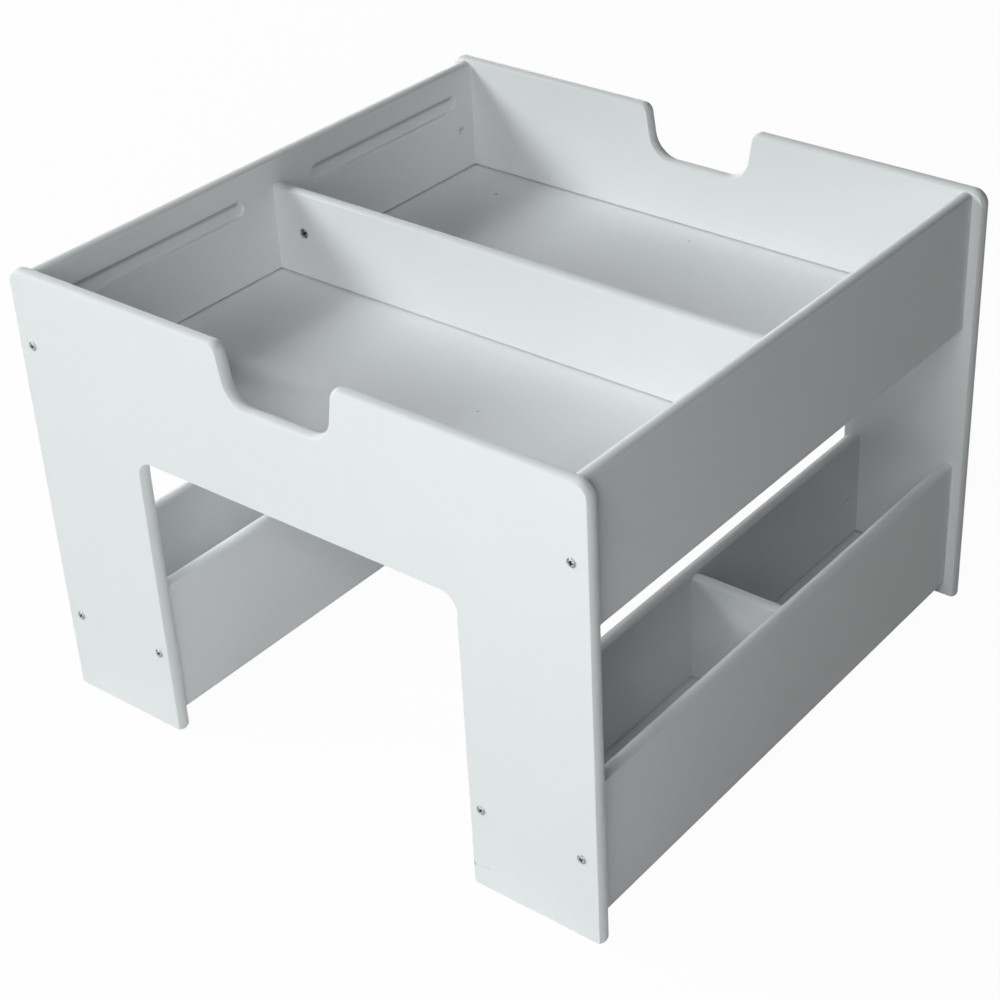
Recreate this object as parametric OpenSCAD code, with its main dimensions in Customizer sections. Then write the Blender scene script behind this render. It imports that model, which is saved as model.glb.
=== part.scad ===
/* [Table] */
// Width across the end panels
table_w = 600; // [560:1:680]
// Length from the front panel's outer face to the rear panel's outer face
table_l = 586; // [520:1:680]
// Height to the top of the end panels
table_h = 430; // [420:1:480]
// Thickness of every board
board_t = 12; // [11:0.5:14]
// Depth of the crown that rounds a board's long edges
crown_d = 2.5; // [1:0.25:3.5]

/* [End panels] */
// Width of the gap between the legs
leg_gap_w = 338; // [300:1:345]
// Height of the gap between the legs
leg_gap_h = 285; // [240:1:289]
// Radius in the top corners of the leg gap
leg_gap_r = 14; // [8:1:30]
// Radius of the top outer corners
top_corner_r = 14; // [6:1:30]
// Radius of the corners of the feet
foot_corner_r = 5; // [3:0.5:10]
// Width of the hand notch at the top edge
notch_top_w = 118; // [108:1:140]
// Width of the hand notch at its bottom
notch_bottom_w = 102; // [90:1:106]
// Depth of the hand notch
notch_d = 51; // [42:1:60]
// Radius in the bottom corners of the hand notch
notch_r = 25; // [12:1:28]
// Radius of the lips of the hand notch
notch_lip_r = 10; // [4:1:12]

/* [Upper tray] */
// Height of the two upper rails
rail_h = 135; // [125:1:140]
// Drop of the rails' tops below the end panels' tops
rail_drop = 3; // [0:0.5:8]
// Inset of the rails and the outer boards from the panels' side edges
rail_inset = 11.5; // [6:0.5:16]
// Height of the divider across the tray
divider_h = 110; // [104:1:120]

/* [Rail slots] */
// Width of the routed slots in the rails
slot_w = 16; // [10:0.5:18]
// Depth of the routed slots in the rails
slot_d = 3.5; // [2:0.5:4]
// Drop of a slot's centre line below the rail's top
slot_drop = 34.5; // [26:0.5:40]
// Distance from the table's middle to the near end of a slot
slot_start = 44; // [30:1:80]
// Distance from the end panel to the far end of a slot
slot_margin = 24; // [22:1:60]

/* [Storage bays] */
// Height of the long boards beside the bays
store_h = 135; // [126:1:140]
// Height of the boards' lower edges above the ground
store_lift = 15; // [10:1:24]
// Distance between the centres of the two inner boards
inner_span = 365; // [363:1:380]
// Drop of the bay dividers' tops below the boards' tops
bay_divider_drop = 3; // [0:0.5:6]

/* [Floor panels] */
// Thickness of the floor panels
floor_t = 4; // [3:0.25:5]
// Height of a floor's underside above the lower edge of the boards around it
floor_lift = 19.5; // [14:0.5:22]
// Depth of the grooves that hold the floors
groove_d = 4; // [3:0.25:4]
// Play above and around a floor in its groove
floor_play = 0.5; // [0.3:0.1:0.8]

/* [Hardware] */
// Diameter of the bolts' shanks
bolt_d = 5; // [4:0.25:5]
// Diameter of the bolts' pan heads
bolt_head_d = 9; // [8:0.25:11]
// Height of the bolts above the lower edge of the board that they hold
bolt_lift = 68.5; // [62:0.5:74]
// Diameter of the barrel nuts
barrel_d = 8; // [7:0.25:9]
// Distance from a board's end to its barrel nut
barrel_setback = 18.5; // [14:0.5:24]
// Diameter of the wooden dowels
dowel_d = 6; // [5:0.25:6.5]
// Length of the wooden dowels
dowel_l = 25; // [21:1:28]
// Distance of the wooden dowels above and below a bolt
dowel_spread = 35; // [30:0.5:38]
// Diameter of the cam locks in the tray divider
cam_d = 10; // [9:0.25:12]
// Distance from the divider's end to the centre of a cam lock
cam_setback = 34; // [24:0.5:40]

/* [Hidden] */

// Sides of the table
LEFT = -1;
RIGHT = 1;
FRONT = -1;
REAR = 1;

// Overrun of every cut past the face that it opens
over = board_t / 4;
// Gap round a fastener in its hole
fit_gap = bolt_d / 50;

// Heights
rail_top = table_h - rail_drop;
rail_bottom = rail_top - rail_h;
tray_floor_z = rail_bottom + floor_lift;
bay_floor_z = store_lift + floor_lift;

// Lengths along the table
inner_l = table_l - 2 * board_t;
inner_y = inner_l / 2;

// Places across the table
rail_x = table_w / 2 - rail_inset - board_t / 2;
rail_face_x = rail_x - board_t / 2;
inner_x = inner_span / 2;
bay_inner_x = inner_x + board_t / 2;
bay_w = rail_face_x - bay_inner_x;
bay_mid_x = bay_inner_x + bay_w / 2;

// Radius of the crown on a board's long edges
crown_r = (crown_d * crown_d + board_t * board_t / 4) / (2 * crown_d);

// Bolts and barrel nuts
bolt_tip = barrel_setback + barrel_d;
bolt_head_share = 0.27;
bolt_head_h = bolt_head_d * bolt_head_share;
bolt_dome_r = (bolt_head_h * bolt_head_h + bolt_head_d * bolt_head_d / 4) / (2 * bolt_head_h);
cross_w = bolt_head_d / 7;
cross_l = bolt_head_d / 2;
cross_d = bolt_head_h / 2;
barrel_l_share = 0.8;
barrel_l = board_t * barrel_l_share;
barrel_hole_share = 0.9;
barrel_hole_l = board_t * barrel_hole_share;

// Dowels and cam locks
dowel_seat_share = 2 / 3;
dowel_seat = board_t * dowel_seat_share;
end_spread_share = 0.77;
end_dowel_spread = dowel_spread * end_spread_share;
bay_dowel_l_share = 0.8;
bay_dowel_l = dowel_l * bay_dowel_l_share;
cam_l_share = 0.8;
cam_l = board_t * cam_l_share;
cam_slot_l = cam_d * cam_l_share;
cam_slot_w = cam_d / 8;
cam_slot_d = cam_l / 6;
cam_dowel_seat_share = 0.75;
cam_dowel_seat = board_t * cam_dowel_seat_share;
end_hole_rest = dowel_d / 6;

// Smoothness of round stretches and of drilled holes
corner_step = 7.5;
$fn = 48;

paint = "white";
zinc = "silver";
beech = "burlywood";

// Turn from one direction to the next, positive to the left
function turn(u, v) = atan2(u[0] * v[1] - u[1] * v[0], u * v);

// Points of a rounded corner at q, between the points before and after it
function round_corner(p, q, n, r) =
  let (
    u = (q - p) / norm(q - p),
    v = (n - q) / norm(n - q),
    a = turn(u, v),
    side = sign(a),
    start = q - u * r * tan(abs(a) / 2),
    to_centre = side * [-u[1], u[0]],
    centre = start + r * to_centre,
    first = atan2(-to_centre[1], -to_centre[0]),
    steps = ceil(abs(a) / corner_step)
  )
  [for (k = [0 : steps]) centre + r * [cos(first + a * k / steps), sin(first + a * k / steps)]];

// Outline of the corners [x, z, radius], each one rounded
function rounded(corners) =
  let (n = len(corners))
  [
    for (k = [0 : n - 1])
      let (
        p = corners[(k + n - 1) % n],
        q = corners[k],
        r = corners[(k + 1) % n]
      )
      each round_corner([p[0], p[1]], [q[0], q[1]], [r[0], r[1]], q[2])
  ];

// Corners of an end panel: outer top, hand notch, feet and leg gap
panel_corners = [
  [-table_w / 2, 0, foot_corner_r],
  [-table_w / 2, table_h, top_corner_r],
  [-notch_top_w / 2, table_h, notch_lip_r],
  [-notch_bottom_w / 2, table_h - notch_d, notch_r],
  [notch_bottom_w / 2, table_h - notch_d, notch_r],
  [notch_top_w / 2, table_h, notch_lip_r],
  [table_w / 2, table_h, top_corner_r],
  [table_w / 2, 0, foot_corner_r],
  [leg_gap_w / 2, 0, foot_corner_r],
  [leg_gap_w / 2, leg_gap_h, leg_gap_r],
  [-leg_gap_w / 2, leg_gap_h, leg_gap_r],
  [-leg_gap_w / 2, 0, foot_corner_r]
];

// Each bolt's place [x, z] on an end panel
bolt_places = [
  for (side = [LEFT, RIGHT], place = [
    [rail_x, rail_bottom + bolt_lift],
    [rail_x, store_lift + bolt_lift],
    [inner_x, store_lift + bolt_lift]
  ])
    [side * place[0], place[1]]
];

// Section of a board, standing on its crowned lower edge
module board_section(h) {
  intersection() {
    translate([-board_t / 2, 0]) square([board_t, h]);
    union() {
      translate([0, crown_r]) circle(crown_r);
      translate([0, h - crown_r]) circle(crown_r);
      translate([-crown_r, crown_r]) square([2 * crown_r, h - 2 * crown_r]);
    }
  }
}

// Board along Y, centred, with its lower edge at z
module long_board(x, z, h) {
  translate([x, 0, z])
    rotate([90, 0, 0])
      linear_extrude(inner_l, center = true)
        board_section(h);
}

// Board along X, from x0 to x1, in the middle of the table
module cross_board(x0, x1, z, h) {
  translate([x0, 0, z])
    rotate([90, 0, 90])
      linear_extrude(x1 - x0)
        board_section(h);
}

// Room of one floor panel, grown by the play around it
module floor_room(x0, x1, end, z, play) {
  reach = groove_d - floor_play + play;
  y0 = board_t / 2 - reach;
  y1 = inner_y + reach;
  translate([x0 - reach, end == REAR ? y0 : -y1, z])
    cube([x1 - x0 + 2 * reach, y1 - y0, floor_t + play]);
}

module tray_floor_room(end, play) {
  floor_room(-rail_face_x, rail_face_x, end, tray_floor_z, play);
}

module bay_floor_room(side, end, play) {
  edges = [side * bay_inner_x, side * rail_face_x];
  floor_room(min(edges), max(edges), end, bay_floor_z, play);
}

// Grooves for both tray floors
module tray_grooves() {
  for (end = [FRONT, REAR]) tray_floor_room(end, floor_play);
}

// Grooves for both floors of one storage bay
module bay_grooves(side) {
  for (end = [FRONT, REAR]) bay_floor_room(side, end, floor_play);
}

// Hole or pin along X, centred on x
module along_x(x, y, z, l, d) {
  translate([x, y, z]) rotate([0, 90, 0]) cylinder(h = l, d = d, center = true);
}

// Hole or pin along Y, from y towards +Y
module along_y(x, y, z, l, d) {
  translate([x, y, z]) rotate([-90, 0, 0]) cylinder(h = l, d = d);
}

// One shallow stadium-shaped slot in the inner face of a rail
module rail_slot(side, end) {
  near = slot_start + slot_w / 2;
  far = inner_y - slot_margin - slot_w / 2;
  depth_x = side * (rail_face_x + slot_d / 2 - over / 2);
  z = rail_top - slot_drop;
  for (y = [near, far]) along_x(depth_x, end * y, z, slot_d + over, slot_w);
  translate([depth_x, end * (near + far) / 2, z])
    cube([slot_d + over, far - near, slot_w], center = true);
}

// Holes for the bolt, the dowels and the barrel nut at both ends of a long board
module long_board_holes(x, z, face) {
  bolt_hole_l = bolt_tip + over + fit_gap;
  dowel_hole_l = dowel_l - dowel_seat + end_hole_rest + over;
  for (end = [FRONT, REAR]) {
    bolt_y = end == REAR ? inner_y - bolt_hole_l + over : -inner_y - over;
    dowel_y = end == REAR ? inner_y - dowel_hole_l + over : -inner_y - over;
    along_y(x, bolt_y, z + bolt_lift, bolt_hole_l, bolt_d + 2 * fit_gap);
    for (lift = [-dowel_spread, dowel_spread])
      along_y(x, dowel_y, z + bolt_lift + lift, dowel_hole_l, dowel_d + 2 * fit_gap);
    along_x(
      x + face * (board_t - barrel_hole_l + over) / 2,
      end * (inner_y - barrel_setback),
      z + bolt_lift,
      barrel_hole_l + over,
      barrel_d + 2 * fit_gap
    );
  }
}

// Blind holes in a long board's face for the dowels of a cross board
module face_dowel_holes(x, face, z) {
  depth = dowel_seat + end_hole_rest;
  for (lift = [-end_dowel_spread, end_dowel_spread])
    along_x(
      x + face * (board_t - depth + over) / 2, 0, z + bolt_lift + lift,
      depth + over, dowel_d + 2 * fit_gap
    );
}

// Holes in one end of a cross board for its dowels
module end_dowel_holes(x, end, z, depth) {
  for (lift = [-end_dowel_spread, end_dowel_spread])
    along_x(
      x - end * (depth - over) / 2, 0, z + bolt_lift + lift,
      depth + over, dowel_d + 2 * fit_gap
    );
}

// Dowels that join one end of a cross board to a long board's face
module cross_dowels(face_x, out, z, l) {
  for (lift = [-end_dowel_spread, end_dowel_spread])
    along_x(face_x + out * (dowel_seat - l / 2), 0, z + bolt_lift + lift, l, dowel_d);
}

module end_panel(end) {
  outer_y = table_l / 2;
  color(paint)
    difference() {
      translate([0, end == REAR ? outer_y : -inner_y, 0])
        rotate([90, 0, 0])
          linear_extrude(board_t)
            polygon(rounded(panel_corners));
      for (place = bolt_places) {
        along_y(
          place[0], end == REAR ? inner_y - over : -outer_y - over, place[1],
          board_t + 2 * over, bolt_d + 2 * fit_gap
        );
        for (lift = [-dowel_spread, dowel_spread])
          along_y(
            place[0],
            end == REAR ? inner_y - over : -inner_y - dowel_seat - end_hole_rest,
            place[1] + lift,
            dowel_seat + end_hole_rest + over, dowel_d + 2 * fit_gap
          );
      }
      tray_floor_room(end, floor_play);
      for (side = [LEFT, RIGHT]) bay_floor_room(side, end, floor_play);
    }
}

module upper_rail(side) {
  color(paint)
    difference() {
      long_board(side * rail_x, rail_bottom, rail_h);
      tray_grooves();
      for (end = [FRONT, REAR]) rail_slot(side, end);
      long_board_holes(side * rail_x, rail_bottom, -side);
      face_dowel_holes(side * rail_x, -side, rail_bottom);
      along_x(
        side * (rail_face_x + (cam_dowel_seat - over) / 2), 0, rail_bottom + bolt_lift,
        cam_dowel_seat + over, bolt_d + 2 * fit_gap
      );
    }
}

module tray_divider() {
  hole_l = dowel_l - dowel_seat + end_hole_rest;
  color(paint)
    difference() {
      cross_board(-rail_face_x, rail_face_x, rail_bottom, divider_h);
      tray_grooves();
      for (side = [LEFT, RIGHT]) {
        end_dowel_holes(side * rail_face_x, side, rail_bottom, hole_l);
        along_x(
          side * (rail_face_x - (cam_setback - over) / 2), 0, rail_bottom + bolt_lift,
          cam_setback + over, bolt_d + 2 * fit_gap
        );
        along_y(
          side * (rail_face_x - cam_setback), -board_t / 2 - over, rail_bottom + bolt_lift,
          cam_l + over + fit_gap, cam_d + 2 * fit_gap
        );
      }
    }
}

module tray_floor(end) {
  color(paint) tray_floor_room(end, 0);
}

module outer_board(side) {
  color(paint)
    difference() {
      long_board(side * rail_x, store_lift, store_h);
      bay_grooves(side);
      long_board_holes(side * rail_x, store_lift, -side);
      face_dowel_holes(side * rail_x, -side, store_lift);
    }
}

module inner_board(side) {
  color(paint)
    difference() {
      long_board(side * inner_x, store_lift, store_h);
      bay_grooves(side);
      long_board_holes(side * inner_x, store_lift, side);
      face_dowel_holes(side * inner_x, side, store_lift);
    }
}

module bay_divider(side) {
  hole_l = bay_dowel_l - dowel_seat + end_hole_rest;
  edges = [side * bay_inner_x, side * rail_face_x];
  color(paint)
    difference() {
      cross_board(min(edges), max(edges), store_lift, store_h - bay_divider_drop);
      bay_grooves(side);
      end_dowel_holes(side * bay_inner_x, -side, store_lift, hole_l);
      end_dowel_holes(side * rail_face_x, side, store_lift, hole_l);
    }
}

module bay_floor(side, end) {
  color(paint) bay_floor_room(side, end, 0);
}

// Bolt along +Y with a domed head below y = 0 and a cross recess
module bolt() {
  color(zinc)
    difference() {
      union() {
        intersection() {
          translate([0, bolt_dome_r - bolt_head_h, 0]) sphere(bolt_dome_r);
          along_y(0, -bolt_head_h, 0, bolt_head_h, bolt_head_d);
        }
        along_y(0, 0, 0, board_t + bolt_tip, bolt_d);
      }
      for (turned = [0, 90])
        rotate([0, turned, 0])
          translate([-cross_l / 2, -bolt_head_h - over, -cross_w / 2])
            cube([cross_l, cross_d + over, cross_w]);
    }
}

module panel_bolts(end) {
  for (place = bolt_places)
    translate([place[0], end * table_l / 2, place[1]])
      rotate([0, 0, end == REAR ? 180 : 0])
        bolt();
}

// Barrel nut along X with a cross bore along Y and a screwdriver slot towards face
module barrel_nut(face) {
  slot_l = barrel_l / 8;
  color(zinc)
    difference() {
      along_x(0, 0, 0, barrel_l, barrel_d);
      along_y(0, -barrel_d, 0, 2 * barrel_d, bolt_d + 2 * fit_gap);
      translate([face * (barrel_l + over - slot_l) / 2, 0, 0])
        cube([slot_l + over, barrel_d + over, barrel_d / 6], center = true);
    }
}

module barrel_nuts(end) {
  for (place = bolt_places)
    translate([place[0], end * (inner_y - barrel_setback), place[1]])
      barrel_nut(abs(place[0]) < bay_mid_x ? sign(place[0]) : -sign(place[0]));
}

module wood_dowels(end) {
  for (place = bolt_places, lift = [-dowel_spread, dowel_spread])
    color(beech)
      along_y(
        place[0],
        end == REAR ? inner_y + dowel_seat - dowel_l : -inner_y - dowel_seat,
        place[1] + lift, dowel_l, dowel_d
      );
}

module divider_dowels() {
  for (side = [LEFT, RIGHT])
    color(beech) cross_dowels(side * rail_face_x, side, rail_bottom, dowel_l);
}

module bay_dowels(side) {
  color(beech) {
    cross_dowels(side * bay_inner_x, -side, store_lift, bay_dowel_l);
    cross_dowels(side * rail_face_x, side, store_lift, bay_dowel_l);
  }
}

// Cam lock flush with the divider's front face, open towards its dowel
module cam_lock(side) {
  x = side * (rail_face_x - cam_setback);
  z = rail_bottom + bolt_lift;
  color(zinc)
    difference() {
      along_y(x, -board_t / 2, z, cam_l, cam_d);
      along_x(x + side * cam_d / 2, 0, z, cam_d, bolt_d + 2 * fit_gap);
      for (turned = [0, 90])
        translate([x, -board_t / 2, z])
          rotate([0, turned, 0])
            cube([cam_slot_l, 2 * cam_slot_d, cam_slot_w], center = true);
    }
}

module cam_locks() {
  for (side = [LEFT, RIGHT]) cam_lock(side);
}

module cam_dowels() {
  l = cam_dowel_seat + cam_setback - fit_gap;
  for (side = [LEFT, RIGHT])
    color(zinc)
      along_x(
        side * (rail_face_x + cam_dowel_seat - l / 2), 0, rail_bottom + bolt_lift, l, bolt_d
      );
}

end_panel(FRONT);  // front_end_panel
end_panel(REAR);  // rear_end_panel
upper_rail(LEFT);  // left_upper_rail
upper_rail(RIGHT);  // right_upper_rail
tray_divider();
tray_floor(FRONT);  // front_tray_floor
tray_floor(REAR);  // rear_tray_floor
outer_board(LEFT);  // left_outer_board
inner_board(LEFT);  // left_inner_board
outer_board(RIGHT);  // right_outer_board
inner_board(RIGHT);  // right_inner_board
bay_divider(LEFT);  // left_bay_divider
bay_divider(RIGHT);  // right_bay_divider
bay_floor(LEFT, FRONT);  // left_front_bay_floor
bay_floor(LEFT, REAR);  // left_rear_bay_floor
bay_floor(RIGHT, FRONT);  // right_front_bay_floor
bay_floor(RIGHT, REAR);  // right_rear_bay_floor
panel_bolts(FRONT);  // front_panel_bolts
panel_bolts(REAR);  // rear_panel_bolts
barrel_nuts(FRONT);  // front_barrel_nuts
barrel_nuts(REAR);  // rear_barrel_nuts
wood_dowels(FRONT);  // front_wood_dowels
wood_dowels(REAR);  // rear_wood_dowels
divider_dowels();  // tray_divider_dowels
bay_dowels(LEFT);  // left_bay_dowels
bay_dowels(RIGHT);  // right_bay_dowels
cam_locks();  // divider_cam_locks
cam_dowels();  // divider_cam_dowels
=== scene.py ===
"""Looks of a low children's table with an open parted tray and two storage bays.

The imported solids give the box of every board. Each board that shows is drawn anew in
its own box, with crowned edges, crisp arrises, grooves, routed slots and drilled holes,
and everything is dressed in procedural finishes. Sizes are in millimetres until a mesh
is made, which turns them into metres.
"""

from __future__ import annotations

import logging
import math
from collections.abc import Sequence
from dataclasses import dataclass, field
from enum import Enum
from itertools import cycle

import bmesh
import bpy
import numpy as np
from mathutils import Euler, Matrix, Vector
from mathutils.geometry import tessellate_polygon


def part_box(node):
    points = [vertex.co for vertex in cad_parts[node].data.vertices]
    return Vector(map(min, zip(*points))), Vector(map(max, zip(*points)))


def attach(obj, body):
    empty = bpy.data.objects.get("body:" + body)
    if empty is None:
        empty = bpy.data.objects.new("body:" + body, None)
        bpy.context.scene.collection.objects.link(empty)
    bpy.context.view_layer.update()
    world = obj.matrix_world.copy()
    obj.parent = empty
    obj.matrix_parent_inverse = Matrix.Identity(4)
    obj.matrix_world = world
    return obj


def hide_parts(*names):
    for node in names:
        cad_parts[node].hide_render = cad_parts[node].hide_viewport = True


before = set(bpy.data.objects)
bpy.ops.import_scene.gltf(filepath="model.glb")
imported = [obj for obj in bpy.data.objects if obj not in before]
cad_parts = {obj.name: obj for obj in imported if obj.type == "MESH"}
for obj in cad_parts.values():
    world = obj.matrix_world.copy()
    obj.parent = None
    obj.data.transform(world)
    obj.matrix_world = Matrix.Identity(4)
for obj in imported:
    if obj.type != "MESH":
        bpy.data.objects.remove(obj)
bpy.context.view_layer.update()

LOG = logging.getLogger("table")

# A millimetre, in the metres of the scene
MM = 0.001
# Distance in metres within which points are welded
WELD = 1e-6
# Angle between two faces, in degrees, from which the edge between them is drawn sharp
SHARP_FROM = 38.0
# Weight of large faces over small ones where normals are evened out
LARGE_FACE_WEIGHT = 100
# Attribute of the faces that holds their band, or on metal their painted shade in recesses
KIND = "surface_kind"
BODY = "root"
UP = (0.0, 0.0, 1.0)

Triple = tuple[float, float, float]
Socket = bpy.types.NodeSocket
Sockets = dict[str, Socket]


class Named(Enum):
    """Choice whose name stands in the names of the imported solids."""

    @property
    def word(self) -> str:
        """The choice as the solids' names write it."""
        return self.name.lower()


class Side(Named):
    """Side of the table as seen from the front."""

    LEFT = -1
    RIGHT = 1


class End(Named):
    """End of the table."""

    FRONT = -1
    REAR = 1


class Band(Enum):
    """Kind of surface that a face belongs to, which the paint reads."""

    FLAT = 0.0
    EDGE = 1.0


def unit(rows: np.ndarray) -> np.ndarray:
    """Rows scaled to length one."""
    return rows / np.linalg.norm(rows, axis=-1, keepdims=True)


@dataclass
class Shell:
    """Closed surface gathered from lattices and flat fills, in millimetres."""

    points: list[np.ndarray] = field(default_factory=list)
    faces: list[tuple[int, ...]] = field(default_factory=list)
    kinds: list[float] = field(default_factory=list)
    count: int = 0

    def _add(self, points: np.ndarray, faces: np.ndarray, kinds: np.ndarray) -> None:
        """Store part of the surface.

        Args:
            points: Rows of (x, y, z).
            faces: Rows of the numbers of each face's points, counted within the part.
            kinds: Kind of surface of each face.
        """
        self.faces.extend(map(tuple, (faces + self.count).tolist()))
        self.kinds.extend(kinds.tolist())
        self.points.append(points)
        self.count += len(points)

    def lattice(
        self,
        rows: np.ndarray,
        closed: bool = False,
        band: Band = Band.FLAT,
        grime: np.ndarray | None = None,
    ) -> None:
        """Add a surface of quads over a lattice of points.

        Args:
            rows: Points as an array of (rows, columns, 3).
            closed: Whether the last row joins the first.
            band: Kind of surface.
            grime: Share of painted shade at each point, which metal has in place of a band.
        """
        tall, wide = rows.shape[:2]
        index = np.arange(tall * wide).reshape(tall, wide)
        if closed:
            index = np.vstack([index, index[:1]])
        corners = [index[:-1, :-1], index[1:, :-1], index[1:, 1:], index[:-1, 1:]]
        quads = np.stack(corners, axis=-1).reshape(-1, 4)
        if grime is None:
            kinds = np.full(len(quads), band.value)
        else:
            kinds = grime.ravel()[quads].mean(axis=1)
        self._add(rows.reshape(-1, 3), quads, kinds)

    def fill(self, loops: Sequence[np.ndarray], band: Band = Band.FLAT) -> None:
        """Add a flat region.

        Args:
            loops: The outer boundary, then the boundaries of what is cut out of it.
            band: Kind of surface.
        """
        triangles = tessellate_polygon([[Vector(p) for p in loop] for loop in loops])
        self._add(np.concatenate(loops), np.array(triangles), np.full(len(triangles), band.value))

    def mesh(self, name: str) -> bpy.types.Mesh:
        """Weld everything into one closed mesh in metres whose faces point outwards.

        Args:
            name: Name of the mesh.

        Returns:
            The finished mesh, with the kind of surface kept on each face.
        """
        mesh = bpy.data.meshes.new(name)
        mesh.from_pydata(np.concatenate(self.points) * MM, [], self.faces)
        kind = mesh.attributes.new(KIND, "FLOAT", "FACE")
        kind.data.foreach_set("value", np.array(self.kinds, np.float32))
        work = bmesh.new()
        work.from_mesh(mesh)
        bmesh.ops.remove_doubles(work, verts=work.verts, dist=WELD)
        bmesh.ops.recalc_face_normals(work, faces=work.faces)
        work.to_mesh(mesh)
        work.free()
        mesh.polygons.foreach_set("use_smooth", np.ones(len(mesh.polygons), bool))
        mesh.set_sharp_from_angle(angle=math.radians(SHARP_FROM))
        return mesh


@dataclass(frozen=True)
class Face:
    """Flat face of a board: u runs along it, v up it, and the normal points out."""

    origin: Triple
    u: Triple
    v: Triple
    normal: Triple

    def at(self, places: np.ndarray, depth: float = 0.0) -> np.ndarray:
        """Points of the face, sunk below it.

        Args:
            places: Rows of (u, v).
            depth: Distance below the face.

        Returns:
            Rows of (x, y, z).
        """
        u, v, normal = (np.array(axis) for axis in (self.u, self.v, self.normal))
        return np.array(self.origin) + places[:, :1] * u + places[:, 1:] * v - depth * normal


@dataclass(frozen=True)
class Recess:
    """Drilled hole or routed slot: a round wall, or two half circles a run apart."""

    u: float
    v: float
    radius: float
    depth: float
    run: float = 0.0
    mouth: float = 0.2
    foot: float = 0.0
    count: int = 40
    rounding: int = 4

    def outline(self, grow: float = 0.0) -> np.ndarray:
        """Outline of the wall: a circle pulled apart by the run, grown all round.

        Args:
            grow: Distance added outside the wall.

        Returns:
            Rows of (u, v).
        """
        angle = (np.arange(self.count) + 0.5) * 2 * math.pi / self.count
        reach = self.radius + grow
        across = self.u + reach * np.cos(angle) + np.sign(np.cos(angle)) * self.run / 2
        return np.stack([across, self.v + reach * np.sin(angle)], axis=1)

    def cut(self, shell: Shell, face: Face, through: Face | None = None) -> np.ndarray:
        """Add the recess's wall, and its floor unless it goes through.

        The mouth is a quarter circle from the face into the wall, and the foot a
        quarter circle from the wall into the floor.

        Args:
            shell: Surface that the recess belongs to.
            face: Face that it opens.
            through: The face behind, where the recess comes out there.

        Returns:
            The mouth's outline on the face, as points.
        """
        angle = np.linspace(0, math.pi / 2, self.rounding + 1)
        rings = list(zip(self.mouth * (1 - np.sin(angle)), self.mouth * (1 - np.cos(angle))))
        if through is None:
            turned = zip(
                self.foot * (np.cos(angle) - 1), self.depth - self.foot * (1 - np.sin(angle))
            )
            rings += list(turned) if self.foot else [(0.0, self.depth)]
        else:
            rings += [(0.0, self.depth)]
        wall = np.stack([face.at(self.outline(grow), deep) for grow, deep in rings])
        shell.lattice(wall.transpose(1, 0, 2), closed=True)
        if through is None:
            shell.fill([wall[-1]])
        return wall[0]


@dataclass(frozen=True)
class Groove:
    """Stopped groove for a floor panel: a rectangle sunk into a face."""

    u0: float
    u1: float
    v0: float
    v1: float
    depth: float

    def cut(self, shell: Shell, face: Face) -> np.ndarray:
        """Add the groove's walls and floor.

        Args:
            shell: Surface that the groove belongs to.
            face: Face that it opens.

        Returns:
            The mouth's outline on the face, as points.
        """
        places = np.array(
            [[self.u0, self.v0], [self.u1, self.v0], [self.u1, self.v1], [self.u0, self.v1]]
        )
        wall = np.stack([face.at(places), face.at(places, self.depth)])
        shell.lattice(wall.transpose(1, 0, 2), closed=True)
        shell.fill([wall[-1]])
        return wall[0]


@dataclass(frozen=True)
class EdgeForm:
    """Long edge of a board: a shallow crown between two crisp arrises."""

    thickness: float = 12.0
    crown: float = 2.5
    arris: float = 0.5
    steps: int = 14
    arris_steps: int = 4

    @property
    def radius(self) -> float:
        """Radius of the crown, whose depth over the thickness is the crown's."""
        return (self.crown**2 + self.thickness**2 / 4) / (2 * self.crown)

    @property
    def flat_inset(self) -> float:
        """Distance from the crest to where a flat face begins."""
        across = self.thickness / 2 - self.arris
        return self.radius - math.sqrt((self.radius - self.arris) ** 2 - across**2)

    def section(self) -> np.ndarray:
        """Section across the thickness, as a function of the normal's angle.

        While the angle is small the point lies on the crown's circle. Beyond that it
        lies on a small circle that touches the crown and the flat face.

        Returns:
            Rows of (place across the thickness, inset from the crest).
        """
        across = self.thickness / 2 - self.arris
        turn = math.atan2(across, self.radius - self.flat_inset)
        corner = np.linspace(turn, math.pi / 2, self.arris_steps + 1)[1:]
        angle = np.concatenate([-corner[::-1], np.linspace(-turn, turn, self.steps + 1), corner])
        crowned = np.abs(angle) <= turn
        radius = np.where(crowned, self.radius, self.arris)
        middle = np.where(crowned, 0.0, np.sign(angle) * across)
        depth = np.where(crowned, self.radius, self.flat_inset)
        return np.stack([middle + radius * np.sin(angle), depth - radius * np.cos(angle)], axis=1)


def spun(
    x: np.ndarray, z: np.ndarray, angle: np.ndarray | float
) -> tuple[np.ndarray, np.ndarray]:
    """Places turned about the origin, by the usual sums of sines and cosines.

    Args:
        x: Places across.
        z: Places up.
        angle: Turn in radians.

    Returns:
        The turned places, across and up.
    """
    cosine, sine = np.cos(angle), np.sin(angle)
    return cosine * x - sine * z, sine * x + cosine * z


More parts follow.
